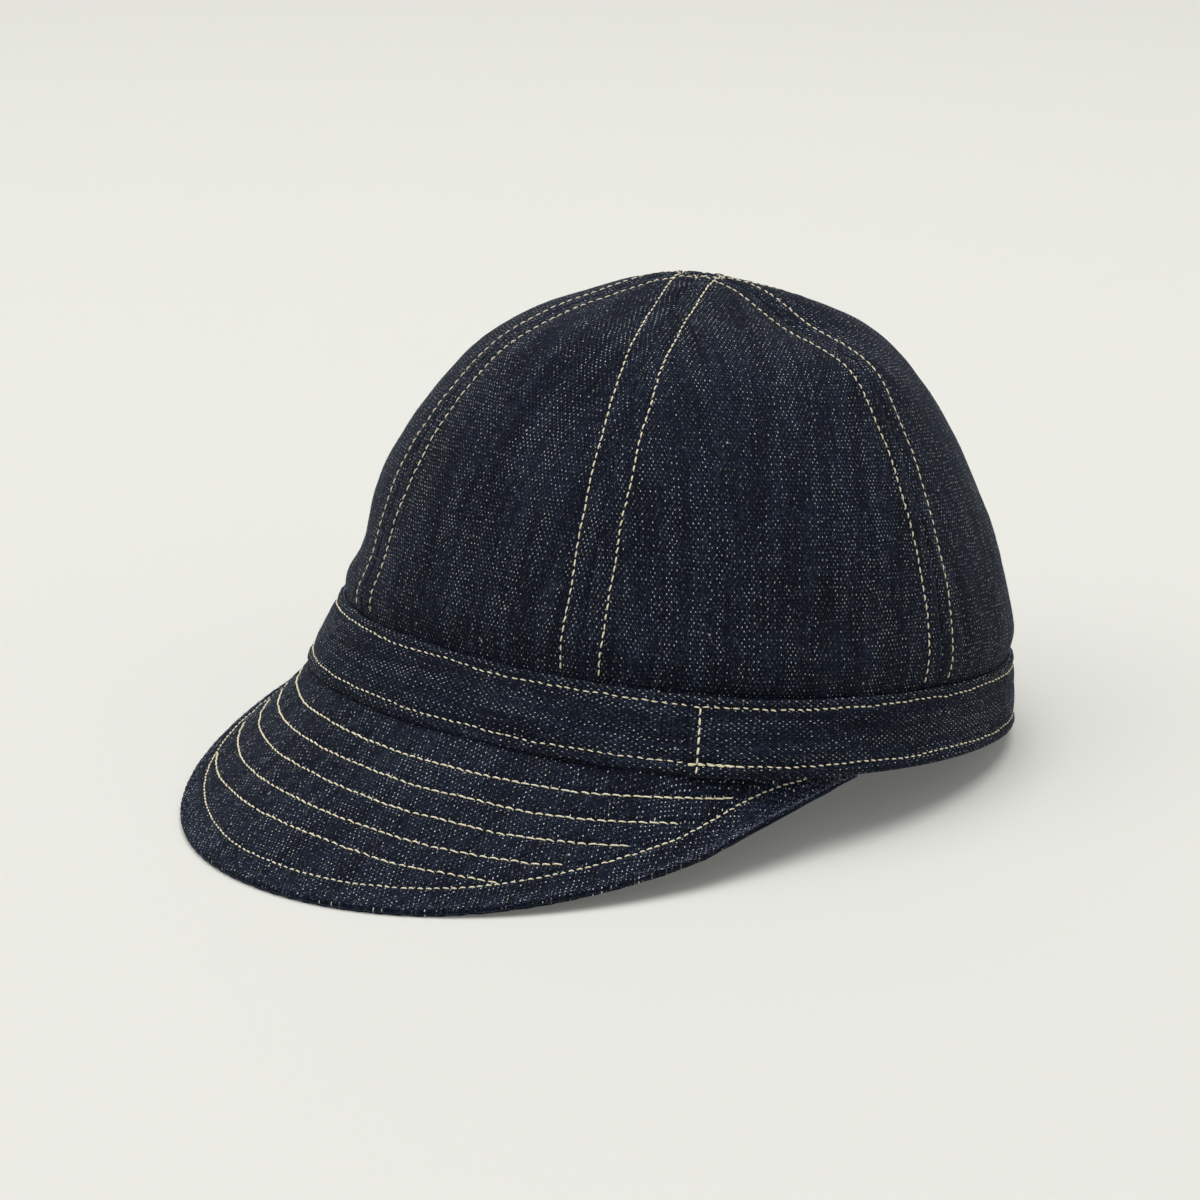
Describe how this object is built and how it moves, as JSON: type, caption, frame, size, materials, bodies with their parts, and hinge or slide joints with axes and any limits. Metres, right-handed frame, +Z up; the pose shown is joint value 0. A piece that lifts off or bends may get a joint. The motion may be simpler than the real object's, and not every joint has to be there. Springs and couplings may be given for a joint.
{
  "type": "denim cap",
  "caption": "Soft dark denim cap with a domed panelled crown, a lapped headband and a wide row-stitched peak, resting on its peak and the back of its band.",
  "frame": {"origin": "middle of the cap's box, at the height of the table that it rests on", "axes": "+Z up; the peak points along -Y; +X is the wearer's left"},
  "size_m": [0.193, 0.2616, 0.1328],
  "materials": {
    "crown_denim": "raw indigo twill, matt, with cream topstitching",
    "band_denim": "raw indigo twill strip, folded and topstitched",
    "peak_denim": "raw indigo twill, two plies quilted with rows of cream stitching",
    "stitching": "cream cotton sewing thread"
  },
  "bodies": {
    "root": {"crown_panel_front": "crown_denim", "crown_panel_front_left": "crown_denim", "crown_panel_back_left": "crown_denim", "crown_panel_back": "crown_denim", "crown_panel_back_right": "crown_denim", "crown_panel_front_right": "crown_denim", "headband": "band_denim", "peak_upper": "peak_denim", "peak_under": "peak_denim"}
  },
  "joints": []
}
